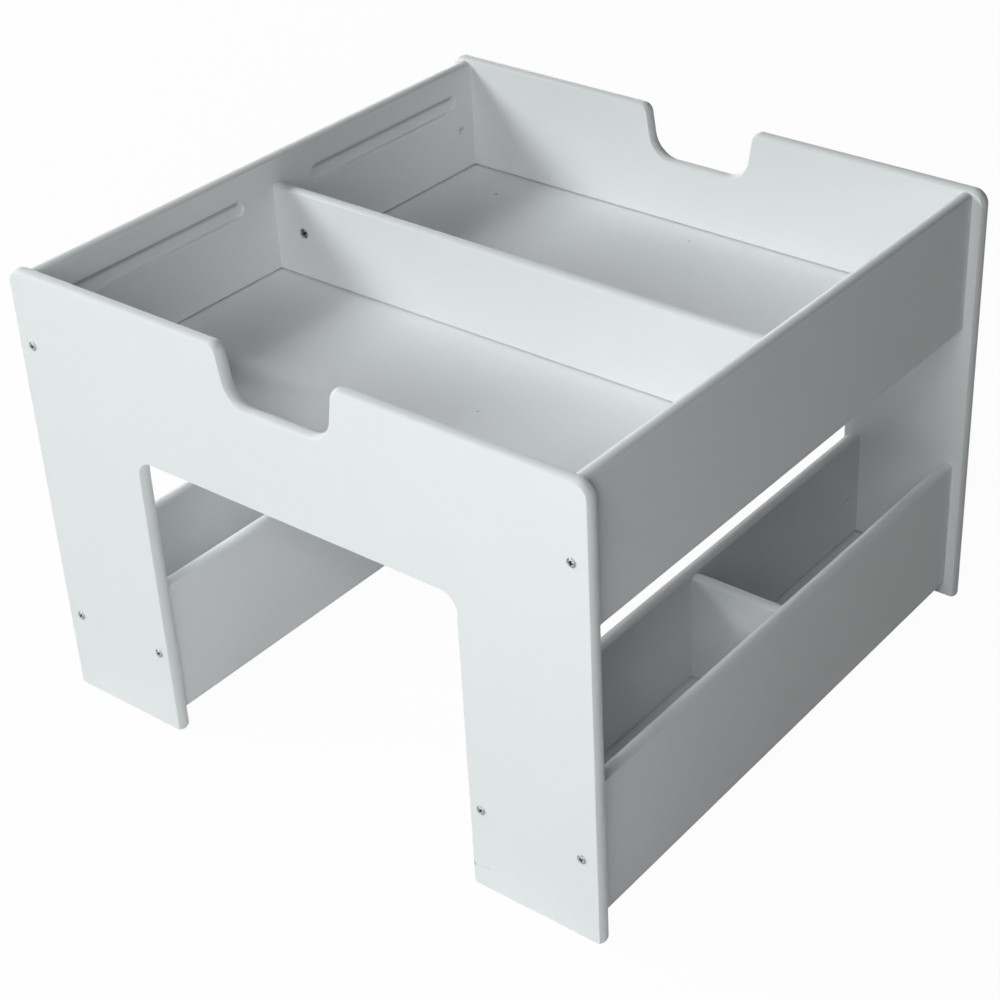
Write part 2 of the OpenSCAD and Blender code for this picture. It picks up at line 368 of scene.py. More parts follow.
def rounded_outline(corners: np.ndarray, step: float) -> tuple[np.ndarray, np.ndarray]:
    """Closed outline, run clockwise, with every corner rounded.

    Each corner's arc touches the two sides that meet there. Its points are the arm
    from the arc's centre to its start, turned in equal steps through the corner's turn.

    Args:
        corners: Rows of (x, z, radius).
        step: Largest turn between two points, in radians.

    Returns:
        The outline's points and their outward normals, as rows of (x, z).
    """
    here, radius = corners[:, :2], corners[:, 2]
    into = unit(here - np.roll(here, 1, axis=0))
    out = unit(np.roll(here, -1, axis=0) - here)
    left = np.stack([-into[:, 1], into[:, 0]], axis=1)
    turn = np.arctan2(np.sum(left * out, axis=1), np.sum(into * out, axis=1))
    start = here - into * (radius * np.tan(np.abs(turn) / 2))[:, None]
    centre = start + left * (np.sign(turn) * radius)[:, None]
    points, normals = [], []
    for k, bend in enumerate(turn):
        angle = np.linspace(0.0, bend, max(2, math.ceil(abs(bend) / step) + 1))
        ring = np.stack(spun(*(start[k] - centre[k]), angle), axis=1)
        points.append(centre[k] + ring)
        normals.append(-np.sign(bend) * ring / radius[k])
    return np.concatenate(points), np.concatenate(normals)


@dataclass(frozen=True)
class Fitting:
    """Sizes that the table's boards and fasteners share.

    The bolt's hole in a board ends a thin web before the barrel nut's hole, and a groove
    runs on past the floor's ends by its play.
    """

    edge: EdgeForm = EdgeForm()
    bolt_lift: float = 68.5
    bolt_hole: float = 2.6
    bolt_mouth: float = 0.15
    barrel_hole: float = 4.1
    barrel_mouth: float = 0.3
    barrel_depth: float = 10.8
    barrel_setback: float = 18.5
    barrel_web: float = 0.52
    dowel_hole: float = 3.1
    dowel_spread: float = 35.0
    cross_dowel_spread: float = 26.95
    panel_dowel_depth: float = 9.0
    board_dowel_depth: float = 18.0
    bay_dowel_depth: float = 13.0
    cam_hole: float = 5.1
    cam_mouth: float = 0.25
    cam_depth: float = 9.7
    cam_setback: float = 34.0
    groove_low: float = 19.5
    groove_high: float = 24.9
    groove_depth: float = 4.0
    groove_play: float = 0.5


FIT = Fitting()


def node_box(node: str) -> tuple[np.ndarray, np.ndarray]:
    """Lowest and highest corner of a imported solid, in millimetres."""
    low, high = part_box(node)
    return np.array(low) / MM, np.array(high) / MM


def panel_planes(end: End) -> tuple[float, float]:
    """Places along the table of an end panel's outer and inner face."""
    low, high = node_box(f"{end.word}_end_panel")
    return (low[1], high[1]) if end is End.FRONT else (high[1], low[1])


def opaque(colour: Triple) -> tuple[float, float, float, float]:
    """A colour as a colour socket takes it."""
    return (*colour, 1.0)


def cleared(owner: bpy.types.Material | bpy.types.World) -> bpy.types.NodeTree:
    """Switch a new material's or world's nodes on and empty them.

    Args:
        owner: The material or world.

    Returns:
        Its node tree.
    """
    owner.use_nodes = True
    owner.node_tree.nodes.clear()
    return owner.node_tree


class NodeSheet:
    """Node tree with short calls to add and join nodes."""

    spacing = 190

    def __init__(self, tree: bpy.types.NodeTree) -> None:
        """Take a tree to draw in."""
        self.tree = tree
        self.column = 0

    def add(
        self, kind: str, inputs: dict[str | int, object] | None = None, **settings: object
    ) -> bpy.types.Node:
        """Add a node.

        Args:
            kind: Blender's name of the node's type.
            inputs: Sockets to link or values to set, by the input's name or number.
            settings: Attributes of the node.

        Returns:
            The new node.
        """
        node = self.tree.nodes.new(kind)
        for key, value in settings.items():
            setattr(node, key, value)
        self.feed(node, inputs or {})
        node.location = (self.column * self.spacing, 0)
        self.column += 1
        return node

    def feed(self, node: bpy.types.Node, inputs: dict[str | int, object]) -> None:
        """Link or set inputs of a node.

        Args:
            node: The node.
            inputs: Sockets to link or values to set, by the input's name or number.
        """
        for key, value in inputs.items():
            if isinstance(value, Socket):
                self.tree.links.new(value, node.inputs[key])
            else:
                node.inputs[key].default_value = value

    def math(
        self, operation: str, first: Socket | float, second: Socket | float, clamp: bool = False
    ) -> Socket:
        """Result of a Math node.

        Args:
            operation: Blender's name of the operation.
            first: Socket or number.
            second: Socket or number.
            clamp: Whether the result stays between 0 and 1.

        Returns:
            The node's output socket.
        """
        inputs = {0: first, 1: second}
        return self.add("ShaderNodeMath", inputs, operation=operation, use_clamp=clamp).outputs[0]

    def vector(self, operation: str, first: Socket, second: Socket) -> bpy.types.Node:
        """A Vector Math node over two vectors."""
        return self.add("ShaderNodeVectorMath", {0: first, 1: second}, operation=operation)

    def scaled(self, vector: Socket | Triple, scale: Socket) -> Socket:
        """A vector or a colour times a scale."""
        inputs = {0: vector, "Scale": scale}
        return self.add("ShaderNodeVectorMath", inputs, operation="SCALE").outputs[0]

    def varied(self, base: Socket | float, by: Socket, amount: float) -> Socket:
        """A base plus what varies it times an amount."""
        return self.math("ADD", base, self.math("MULTIPLY", by, amount))

    def eased(self, share: Socket) -> Socket:
        """A share between 0 and 1, eased at both ends by the smooth step."""
        inputs = {0: share}
        return self.add("ShaderNodeMapRange", inputs, interpolation_type="SMOOTHSTEP").outputs[0]

    def mix_colour(self, share: Socket, first: object, second: object) -> Socket:
        """Colour between two colours, through the sockets that a Mix node has for colours."""
        inputs = {0: share, 6: first, 7: second}
        return self.add("ShaderNodeMix", inputs, data_type="RGBA").outputs[2]

    def covered(self, under: Socket, over: Triple, mask: Socket, cover: float) -> Socket:
        """Colour under a coat, whose share is its mask times its cover."""
        return self.mix_colour(self.math("MULTIPLY", mask, cover), under, opaque(over))

    def noise(
        self, place: Socket, scale: Socket | float, detail: float, rough: float = 0.5
    ) -> Socket:
        """Value of a noise pattern.

        Args:
            place: Coordinates.
            scale: Patches to the metre.
            detail: Number of finer layers.
            rough: Strength of each layer as a share of the one before.

        Returns:
            The pattern's socket.
        """
        inputs = {"Vector": place, "Scale": scale, "Detail": detail, "Roughness": rough}
        return self.add("ShaderNodeTexNoise", inputs).outputs[0]


class FinishSheet(NodeSheet):
    """Sheet of a new material, with a Principled shader and object coordinates."""

    def __init__(self, name: str) -> None:
        """Start a material.

        Args:
            name: Name of the material.
        """
        self.material = bpy.data.materials.new(name)
        super().__init__(cleared(self.material))
        self.shader = self.add("ShaderNodeBsdfPrincipled")
        self.add("ShaderNodeOutputMaterial", {0: self.shader.outputs[0]})
        self.place = self.add("ShaderNodeTexCoord").outputs["Object"]

    def kind(self) -> Socket:
        """The kind of surface that each face holds."""
        return self.add("ShaderNodeAttribute", attribute_name=KIND).outputs["Fac"]

    def bump(self, height: Socket, strength: float, depth: float) -> Socket:
        """Normals bent by a height, which stands for a depth in metres."""
        inputs = {"Strength": strength, "Distance": depth, "Height": height}
        return self.add("ShaderNodeBump", inputs).outputs[0]

    def finished(self, inputs: dict[str | int, object]) -> bpy.types.Material:
        """The material, once its shader has its inputs."""
        self.feed(self.shader, inputs)
        return self.material


@dataclass(frozen=True)
class Effect:
    """Pattern that materials share as a node group, which is built once."""

    name: str

    def inputs(self) -> dict[str, float | None]:
        """Default of each of the group's inputs, by name. A vector has none."""
        raise NotImplementedError

    def draw(self, sheet: NodeSheet, inside: Sockets) -> Sockets:
        """Draw the pattern.

        Args:
            sheet: Sheet of the group.
            inside: The group's inputs by name.

        Returns:
            What the group puts out, by name.
        """
        raise NotImplementedError

    def tree(self) -> bpy.types.NodeTree:
        """Make the node group, unless it is there already.

        Returns:
            The group.
        """
        found = bpy.data.node_groups.get(self.name)
        if found:
            return found
        tree = bpy.data.node_groups.new(self.name, "ShaderNodeTree")
        for label, default in self.inputs().items():
            kind = "NodeSocketVector" if default is None else "NodeSocketFloat"
            socket = tree.interface.new_socket(label, in_out="INPUT", socket_type=kind)
            if default is not None:
                socket.default_value = default
        sheet = NodeSheet(tree)
        entry = sheet.add("NodeGroupInput")
        drawn = self.draw(sheet, {s.name: s for s in entry.outputs if s.name})
        for label in drawn:
            tree.interface.new_socket(label, in_out="OUTPUT", socket_type="NodeSocketFloat")
        sheet.add("NodeGroupOutput", drawn)
        return tree

    def placed(self, sheet: NodeSheet, **inputs: object) -> Sockets:
        """The group placed in a material's sheet.

        Args:
            sheet: Sheet to draw in.
            inputs: Values or sockets by the input's name.

        Returns:
            What the group puts out, by name.
        """
        node = sheet.add("ShaderNodeGroup", inputs, node_tree=self.tree())
        return {s.name: s for s in node.outputs}


@dataclass(frozen=True)
class Lacquer(Effect):
    """Sprayed lacquer: a fine orange peel over a slow undulation.

    Its Height feeds a bump, and its Shade varies slowly about zero.
    """

    name: str = "sprayed_lacquer"
    peel: float = 430.0
    wave: float = 7.0
    wave_height: float = 0.6
    middle: float = 0.5

    def inputs(self) -> dict[str, float | None]:
        """Place, and how fine the peel and the undulation are."""
        return {"Vector": None, "Peel": self.peel, "Wave": self.wave}

    def draw(self, sheet: NodeSheet, inside: Sockets) -> Sockets:
        """Draw the peel and the undulation as noise.

        Args:
            sheet: Sheet of the group.
            inside: The group's inputs by name.

        Returns:
            The height and the shade.
        """
        peel = sheet.noise(inside["Vector"], inside["Peel"], detail=2.0, rough=0.45)
        wave = sheet.noise(inside["Vector"], inside["Wave"], detail=3.0)
        height = sheet.varied(peel, wave, self.wave_height)
        return {"Height": height, "Shade": sheet.math("SUBTRACT", wave, self.middle)}


@dataclass(frozen=True)
class Specks(Effect):
    """Specks of dust: small spots in a few of the cells of a cell pattern.

    Its Mask is 1 on a speck. Of a cell's random values the first says whether it has a
    speck and the second how large.
    """

    name: str = "dust_specks"
    cells: float = 28.0
    size: float = 0.02
    share: float = 0.2
    least: float = 0.4

    def inputs(self) -> dict[str, float | None]:
        """Place, cells to the metre, size of a speck and share of cells with one."""
        return {"Vector": None, "Cells": self.cells, "Size": self.size, "Share": self.share}

    def draw(self, sheet: NodeSheet, inside: Sockets) -> Sockets:
        """Draw the spots about the cells' middles.

        Args:
            sheet: Sheet of the group.
            inside: The group's inputs by name.

        Returns:
            The mask.
        """
        places = {"Vector": inside["Vector"], "Scale": inside["Cells"]}
        cells = sheet.add("ShaderNodeTexVoronoi", places)
        drawn = sheet.add("ShaderNodeSeparateColor", {0: cells.outputs["Color"]})
        chosen = sheet.math("LESS_THAN", drawn.outputs[0], inside["Share"])
        large = sheet.math("ADD", drawn.outputs[1], self.least)
        reach = sheet.math("MULTIPLY", large, inside["Size"])
        spot = sheet.math("LESS_THAN", cells.outputs["Distance"], reach)
        return {"Mask": sheet.math("MULTIPLY", spot, chosen)}


@dataclass(frozen=True)
class Rubbing(Effect):
    """Rubbed places: broken patches of noise, kept where a band value allows them.

    Its Mask is 1 where the product of a broad and a fine noise, once eased, is over a
    bound, which the share lowers.
    """

    name: str = "rubbed_paint"
    share: float = 0.3
    broad: float = 23.0
    fine: float = 310.0
    bound: float = 0.52
    lowering: float = 0.3

    def inputs(self) -> dict[str, float | None]:
        """Place, band value and share of the surface that is rubbed."""
        return {"Vector": None, "Band": 0.0, "Share": self.share}

    def draw(self, sheet: NodeSheet, inside: Sockets) -> Sockets:
        """Draw the patches.

        Args:
            sheet: Sheet of the group.
            inside: The group's inputs by name.

        Returns:
            The mask.
        """
        broad = sheet.noise(inside["Vector"], self.broad, detail=2.0)
        fine = sheet.noise(inside["Vector"], self.fine, detail=4.0)
        patches = sheet.eased(sheet.math("MULTIPLY", broad, fine))
        lowered = sheet.math("MULTIPLY", inside["Share"], self.lowering)
        bound = sheet.math("SUBTRACT", self.bound, lowered)
        over = sheet.math("GREATER_THAN", patches, bound)
        return {"Mask": sheet.math("MULTIPLY", over, inside["Band"])}


@dataclass(frozen=True)
class StraightMark(Effect):
    """A single straight mark: points nearer to a stretch of line than the width.

    The nearest place on the line is the point's shadow on it, kept between its ends.
    Its Mask falls from 1 on the line to 0 at the width.
    """

    name: str = "single_mark"
    width: float = 0.001

    def inputs(self) -> dict[str, float | None]:
        """Place, the line's two ends and its width."""
        return {"Vector": None, "From": None, "To": None, "Width": self.width}

    def draw(self, sheet: NodeSheet, inside: Sockets) -> Sockets:
        """Draw the mark.

        Args:
            sheet: Sheet of the group.
            inside: The group's inputs by name.

        Returns:
            The mask.
        """
        away = sheet.vector("SUBTRACT", inside["Vector"], inside["From"]).outputs[0]
        line = sheet.vector("SUBTRACT", inside["To"], inside["From"]).outputs[0]
        shadow = sheet.vector("DOT_PRODUCT", away, line).outputs["Value"]
        square = sheet.vector("DOT_PRODUCT", line, line).outputs["Value"]
        along = sheet.scaled(line, sheet.math("DIVIDE", shadow, square, clamp=True))
        distance = sheet.vector("DISTANCE", away, along).outputs["Value"]
        near = sheet.math("DIVIDE", distance, inside["Width"], clamp=True)
        return {"Mask": sheet.math("SUBTRACT", 1.0, near)}


@dataclass(frozen=True)
class Grain(Effect):
    """Wood grain: rings of a wave pattern bent by noise.

    Its Grain runs from 0 in early wood to 1 in late wood.
    """

    name: str = "wood_grain"
    rings: float = 260.0
    distortion: float = 4.0
    detail: float = 3.0

    def inputs(self) -> dict[str, float | None]:
        """Place and rings to the metre."""
        return {"Vector": None, "Rings": self.rings}

    def draw(self, sheet: NodeSheet, inside: Sockets) -> Sockets:
        """Draw the rings.

        Args:
            sheet: Sheet of the group.
            inside: The group's inputs by name.

        Returns:
            The grain.
        """
        inputs = {
            "Vector": inside["Vector"],
            "Scale": inside["Rings"],
            "Distortion": self.distortion,
            "Detail": self.detail,
        }
        rings = sheet.add("ShaderNodeTexWave", inputs, wave_type="RINGS")
        return {"Grain": rings.outputs["Fac"]}


LACQUER = Lacquer()
SPECKS = Specks()
RUBBING = Rubbing()
STRAIGHT_MARK = StraightMark()
GRAIN = Grain()


@dataclass(frozen=True)
class Mark:
    """Speck, scuff or painted shadow line on a paint, as a stretch of line in millimetres."""

    start: Triple
    end: Triple
    width: float
    strength: float
    colour: Triple = (0.045, 0.045, 0.045)

    def shown(self, sheet: FinishSheet, under: Socket) -> Socket:
        """Colour with the mark laid over it.

        Args:
            sheet: Sheet of the paint's material.
            under: Colour beneath.

        Returns:
            The new colour.
        """
        drawn = STRAIGHT_MARK.placed(
            sheet,
            Vector=sheet.place,
            From=tuple(c * MM for c in self.start),
            To=tuple(c * MM for c in self.end),
            Width=self.width * MM,
        )
        return sheet.covered(under, self.colour, drawn["Mask"], self.strength)


class Finish:
    """Something that can make a material."""

    name: str

    def material(self) -> bpy.types.Material:
        """The finish as a material, made once."""
        return bpy.data.materials.get(self.name) or self.build()

    def build(self) -> bpy.types.Material:
        """Make the material."""
        raise NotImplementedError


@dataclass(frozen=True)
class Paint(Finish):
    """Satin lacquer on fibreboard, smooth on faces and a little rougher on edges."""

    name: str
    colour: Triple
    cloud_shade: float = 0.03
    roughness: float = 0.42
    edge_roughness: float = 0.05
    cloud_roughness: float = 0.08
    peel: float = 430.0
    bump: float = 0.05
    bump_depth: float = 0.0004
    specular: float = 0.16
    worn: Triple = (0.60, 0.60, 0.58)
    worn_share: float = 0.25
    worn_cover: float = 0.25
    dust: Triple = (0.30, 0.30, 0.29)
    dust_cover: float = 0.5
    speck_share: float = 0.03
    marks: tuple[Mark, ...] = ()

    def build(self) -> bpy.types.Material:
        """Make the paint, with peel, specks of dust and faint rubbing on its edges.

        Returns:
            The material.
        """
        sheet = FinishSheet(self.name)
        place, band = sheet.place, sheet.kind()
        skin = LACQUER.placed(sheet, Vector=place, Peel=self.peel)
        rubbed = RUBBING.placed(sheet, Vector=place, Band=band, Share=self.worn_share)
        specks = SPECKS.placed(sheet, Vector=place, Share=self.speck_share)
        colour = sheet.scaled(self.colour, sheet.varied(1.0, skin["Shade"], self.cloud_shade))
        colour = sheet.covered(colour, self.worn, rubbed["Mask"], self.worn_cover)
        colour = sheet.covered(colour, self.dust, specks["Mask"], self.dust_cover)
        for mark in self.marks:
            colour = mark.shown(sheet, colour)
        rough = sheet.varied(self.roughness, band, self.edge_roughness)
        return sheet.finished(
            {
                "Base Color": colour,
                "Roughness": sheet.varied(rough, skin["Shade"], self.cloud_roughness),
                "Specular IOR Level": self.specular,
                "Normal": sheet.bump(skin["Height"], self.bump, self.bump_depth),
            }
        )


@dataclass(frozen=True)
class Zinc(Finish):
    """Bright zinc plating with cloudy patches, and painted shade darkening its recesses."""

    name: str
    colour: Triple = (0.56, 0.57, 0.58)
    dull_share: float = 0.82
    # Near-black painted shade laid into the recesses, with its cover
    grime: Triple = (0.012, 0.012, 0.013)
    grime_cover: float = 0.95
    peel: float = 2400.0
    patches: float = 260.0
    roughness: float = 0.24
    cloud_roughness: float = 0.3
    grime_roughness: float = 0.4
    bump: float = 0.08
    bump_depth: float = 0.0001

    def build(self) -> bpy.types.Material:
        """Make the plating, whose colour runs from dull to bright over the patches.

        Returns:
            The material.
        """
        sheet = FinishSheet(self.name)
        # The faces' kind carries painted shade into the cross, the groove ring and the foot
        grime = sheet.kind()
        cloud = LACQUER.placed(sheet, Vector=sheet.place, Peel=self.peel, Wave=self.patches)
        bright = sheet.math("ADD", LACQUER.middle, cloud["Shade"])
        dull = tuple(self.dull_share * c for c in self.colour)
        tone = sheet.mix_colour(bright, opaque(dull), opaque(self.colour))
        rough = sheet.varied(self.roughness, cloud["Shade"], self.cloud_roughness)
        return sheet.finished(
            {
                "Base Color": sheet.covered(tone, self.grime, grime, self.grime_cover),
                "Metallic": 1.0,
                "Roughness": sheet.varied(rough, grime, self.grime_roughness),
                "Normal": sheet.bump(cloud["Height"], self.bump, self.bump_depth),
            }
        )


@dataclass(frozen=True)
class BareWood(Finish):
    """Unfinished beech of the dowels."""

    name: str
    early: Triple = (0.62, 0.44, 0.27)
    late: Triple = (0.47, 0.30, 0.17)
    roughness: float = 0.6
    late_roughness: float = 0.15
    bump: float = 0.2
    bump_depth: float = 0.0002

    def build(self) -> bpy.types.Material:
        """Make the wood.

        Returns:
            The material.
        """
        sheet = FinishSheet(self.name)
        grain = GRAIN.placed(sheet, Vector=sheet.place)["Grain"]
        return sheet.finished(
            {
                "Base Color": sheet.mix_colour(grain, opaque(self.early), opaque(self.late)),
                "Roughness": sheet.varied(self.roughness, grain, self.late_roughness),
                "Normal": sheet.bump(grain, self.bump, self.bump_depth),
            }
        )


@dataclass(frozen=True)
class RailSlots:
    """The two routed slots in a rail's inner face, and a painted shadow in each.

    A slot's length is measured from the table's middle, and its lift from the rail's
    lower edge. A painted shadow, a dark line in the paint, lies under the slot's upper
    edge, where the slot is straight. Its line runs a little behind the slot's floor, so that
    it fades softly.
    """

    radius: float = 8.0
    near: float = 44.0
    far: float = 257.0
    lift: float = 100.5
    depth: float = 3.5
    mouth: float = 0.35
    foot: float = 0.8
    points: int = 56
    # Painted shadow under each slot's upper edge: its drop, its place behind the floor, width and
    # strength
    dust_sink: float = 0.7
    dust_behind: float = 1.5
    dust_width: float = 6.0
    dust_strength: float = 0.75

    def recesses(self) -> list[Recess]:
        """The slots as recesses of the rail's inner face.

        Returns:
            The front slot and the rear one.
        """
        middle, run = (self.far + self.near) / 2, self.far - self.near - 2 * self.radius
        size = (self.lift, self.radius, self.depth, run, self.mouth, self.foot, self.points)
        return [Recess(half * middle, *size) for half in (-1, 1)]

    def dust(self) -> tuple[Mark, ...]:
        """The painted shadow lines in the slots of both rails.

        Returns:
            A painted shadow mark in each of the four slots.
        """
        inner_x, _, low_z = node_box("right_upper_rail")[0]
        x = inner_x + self.depth + self.dust_behind
        z = low_z + self.lift + self.radius - self.dust_sink
        near, far = self.near + self.radius, self.far - self.radius
        return tuple(
            Mark(
                (side.value * x, half * near, z),
                (side.value * x, half * far, z),
                self.dust_width,
                self.dust_strength,
            )
            for side in Side
            for half in (-1, 1)
        )


RAIL_SLOTS = RailSlots()

# Scuffs at the foot of the front panel's right leg, on its outer face
LEG_SCUFFS = (
    Mark((171.2, -292.6, 25.6), (172.8, -293.0, 21.4), width=0.9, strength=0.75),
    Mark((173.4, -293.0, 22.0), (184.9, -293.0, 24.2), width=0.45, strength=0.16),
    Mark((184.9, -293.0, 24.2), (188.0, -293.0, 23.3), width=0.6, strength=0.35),
)
# Specks on the upper face of the tray's floors
FLOOR_SPECKS = (
    Mark((-213.5, 235.6, 315.5), (-212.9, 235.9, 315.5), width=1.9, strength=1.0),
    Mark((6.6, 256.0, 315.5), (7.2, 256.0, 315.5), width=1.5, strength=0.45),
    Mark((43.5, -108.1, 315.5), (43.9, -107.8, 315.5), width=1.5, strength=0.5),
)

# The board paint carries the leg's scuffs and the slots' painted shadow lines
BOARD_PAINT = Paint(
    "satin_board_paint", (0.910, 0.920, 0.918), marks=LEG_SCUFFS + RAIL_SLOTS.dust()
)
SHEET_PAINT = Paint(
    "satin_sheet_paint",
    (0.890, 0.902, 0.900),
    roughness=0.46,
    peel=300.0,
    speck_share=0.06,
    marks=FLOOR_SPECKS,
)
PALE_NUT = Paint("pale_nut_faces", (0.80, 0.81, 0.81), roughness=0.5, speck_share=0.0)
ZINC = Zinc("bright_zinc")
BEECH = BareWood("bare_beech")


def add_piece(
    name: str, mesh: bpy.types.Mesh, finish: Finish, node: str
) -> bpy.types.Object:
    """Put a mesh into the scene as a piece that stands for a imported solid.

    Args:
        name: Name of the piece.
        mesh: Its mesh, in place.
        finish: What it is dressed in.
        node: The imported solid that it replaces.

    Returns:
        The new object.
    """
    piece = bpy.data.objects.new(name, mesh)
    bpy.context.scene.collection.objects.link(piece)
    mesh.materials.append(finish.material())
    even = piece.modifiers.new("even_normals", "WEIGHTED_NORMAL")
    even.keep_sharp = True
    even.weight = LARGE_FACE_WEIGHT
    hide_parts(node)
    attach(piece, BODY)
    LOG.info("%s: %d faces, stands for %s", name, len(mesh.polygons), node)
    return piece


@dataclass
class EndPanel:
    """Wide board with two legs, a gap between them and a hand notch on top."""

    end: End
    notch_top: float = 118.0
    notch_bottom: float = 102.0
    notch_depth: float = 51.0
    notch_radius: float = 25.0
    lip_radius: float = 10.0
    top_radius: float = 14.0
    foot_radius: float = 5.0
    gap_width: float = 338.0
    gap_height: float = 285.0
    gap_radius: float = 14.0
    step: float = math.radians(4.0)

    @property
    def node(self) -> str:
        """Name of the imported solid."""
        return f"{self.end.word}_end_panel"

    def corners(self, width: float, height: float) -> np.ndarray:
        """Corners of the outline, clockwise from the left foot.

        Args:
            width: Width of the panel.
            height: Height of the panel.

        Returns:
            Rows of (x, z, radius).
        """
        half, deep = width / 2, height - self.notch_depth
        top, low, gap = self.notch_top / 2, self.notch_bottom / 2, self.gap_width / 2
        left = [
            (-half, 0.0, self.foot_radius),
            (-half, height, self.top_radius),
            (-top, height, self.lip_radius),
            (-low, deep, self.notch_radius),
        ]
        legs = [(gap, 0.0, self.foot_radius), (gap, self.gap_height, self.gap_radius)]

        def mirrored(corners: list[Triple]) -> list[Triple]:
            """The same corners on the other side, in the outline's order."""
            return [(-x, z, radius) for x, z, radius in reversed(corners)]

        return np.array(left + mirrored(left) + legs + mirrored(legs))

    def build(self, bolts: Sequence[tuple[float, float]], grooves: Sequence[Groove]) -> None:
        """Make the panel.

        The rim is the edge's section carried round the outline: each point of the
        outline moves inwards by the inset and across by the place in the section.

        Args:
            bolts: Places (x, z) of the bolts.
            grooves: Grooves in the panel's inner face.
        """
        low, high = node_box(self.node)
        out = float(self.end.value)
        outer_y, inner_y = panel_planes(self.end)
        points, normals = rounded_outline(self.corners(high[0] - low[0], high[2]), self.step)
        section = FIT.edge.section()
        places = points[:, None, :] - normals[:, None, :] * section[None, :, 1:]
        across = np.broadcast_to((low[1] + high[1]) / 2 + section[:, 0], places.shape[:2])
        shell = Shell()
        rim = np.stack([places[..., 0], across, places[..., 1]], axis=-1)
        shell.lattice(rim, closed=True, band=Band.EDGE)
        outer = Face((0.0, outer_y, 0.0), (1.0, 0.0, 0.0), UP, (0.0, out, 0.0))
        inner = Face((0.0, inner_y, 0.0), (1.0, 0.0, 0.0), UP, (0.0, -out, 0.0))
        outer_loops, inner_loops = [], []
        for x, z in bolts:
            hole = Recess(x, z, FIT.bolt_hole, FIT.edge.thickness, mouth=FIT.bolt_mouth)
            outer_loops.append(hole.cut(shell, outer, through=inner))
            inner_loops.append(inner.at(hole.outline()))
            for lift in (-FIT.dowel_spread, FIT.dowel_spread):
                blind = Recess(x, z + lift, FIT.dowel_hole, FIT.panel_dowel_depth)
                inner_loops.append(blind.cut(shell, inner))
        inner_loops += [groove.cut(shell, inner) for groove in grooves]
        edge = points - normals * FIT.edge.flat_inset
        shell.fill([outer.at(edge), *outer_loops])
        shell.fill([inner.at(edge), *inner_loops])
        name = f"crowned_{self.node}"
        add_piece(name, shell.mesh(name), BOARD_PAINT, self.node)


@dataclass
class StraightBoard:
    """Board of one section: crowned above and below, flat on its two faces."""

    node: str
    along: str
    grooved: tuple[int, ...] = ()
    recesses: dict[int, list[Recess]] = field(default_factory=dict)
    end_recesses: list[Recess] = field(default_factory=list)

    def faces(self) -> tuple[dict[int, Face], dict[int, Face], float, float]:
        """Frames of the board's faces and ends, whose v starts at the lower edge.

        Returns:
            The two faces and the two ends by sign, the board's length and its height.
        """
        low, high = node_box(self.node)
        middle, size = (low + high) / 2, high - low
        run = 1 if self.along == "y" else 0
        length_axis, thick_axis = np.eye(3)[run], np.eye(3)[1 - run]
        base = np.array([middle[0], middle[1], low[2]])

        def pair(normal: np.ndarray, across: np.ndarray, reach: float) -> dict[int, Face]:
            """The two faces that look both ways along an axis."""
            return {
                sign: Face(
                    tuple(base + sign * reach * normal), tuple(across), UP, tuple(sign * normal)
                )
                for sign in (-1, 1)
            }

        faces = pair(thick_axis, length_axis, size[1 - run] / 2)
        ends = pair(length_axis, thick_axis, size[run] / 2)
        return faces, ends, size[run], size[2]

    def groove(self, sign: int) -> np.ndarray:
        """Section of the groove in one face, from its lower edge upwards.

        Args:
            sign: Sign of the face.

        Returns:
            Rows of (place across the thickness, height).
        """
        side = sign * FIT.edge.thickness / 2
        bed = side - sign * FIT.groove_depth
        low, high = FIT.groove_low, FIT.groove_high
        return np.array([[side, low], [bed, low], [bed, high], [side, high]])

    def outline(self, height: float) -> np.ndarray:
        """Section of the board, once round: bottom crown, one face, top crown, the other.

        Args:
            height: Height of the board.

        Returns:
            Rows of (place across the thickness, height).
        """
        section = FIT.edge.section()
        top = np.stack([section[::-1, 0], height - section[::-1, 1]], axis=1)
        right = self.groove(1) if 1 in self.grooved else np.empty((0, 2))
        left = self.groove(-1)[::-1] if -1 in self.grooved else np.empty((0, 2))
        return np.concatenate([section, right, top, left])

    def build(self, name: str) -> None:
        """Make the board.

        The crowns and the grooves are the section carried straight along the board. The
        faces are flat strips with the recesses cut out of them.

        Args:
            name: Name of the piece.
        """
        faces, ends, length, height = self.faces()
        section = FIT.edge.section()
        shell = Shell()

        def carried(profile: np.ndarray, band: Band) -> None:
            """Carry a profile of the section from end to end."""
            shell.lattice(np.stack([ends[-1].at(profile), ends[1].at(profile)]), band=band)

        carried(section, Band.EDGE)
        carried(np.stack([section[:, 0], height - section[:, 1]], axis=1), Band.EDGE)
        inset, half = FIT.edge.flat_inset, length / 2
        for sign, face in faces.items():
            stops = [(inset, height - inset)]
            if sign in self.grooved:
                stops = [(inset, FIT.groove_low), (FIT.groove_high, height - inset)]
                carried(self.groove(sign), Band.FLAT)
            for v0, v1 in stops:
                strip = np.array([[-half, v0], [half, v0], [half, v1], [-half, v1]])
                inside = [r for r in self.recesses.get(sign, []) if v0 < r.v < v1]
                shell.fill([face.at(strip), *[r.cut(shell, face) for r in inside]])
        for face in ends.values():
            holes = [r.cut(shell, face) for r in self.end_recesses]
            shell.fill([face.at(self.outline(height)), *holes])
        add_piece(name, shell.mesh(name), BOARD_PAINT, self.node)


def dowel_pair(spread: float, depth: float) -> list[Recess]:
    """Dowel holes below and above the height of the bolts.

    Args:
        spread: Distance of each from the bolts' height.
        depth: Depth of the holes.

    Returns:
        The two holes, in the middle of a face or an end.
    """
    return [Recess(0.0, FIT.bolt_lift + s * spread, FIT.dowel_hole, depth) for s in (-1, 1)]


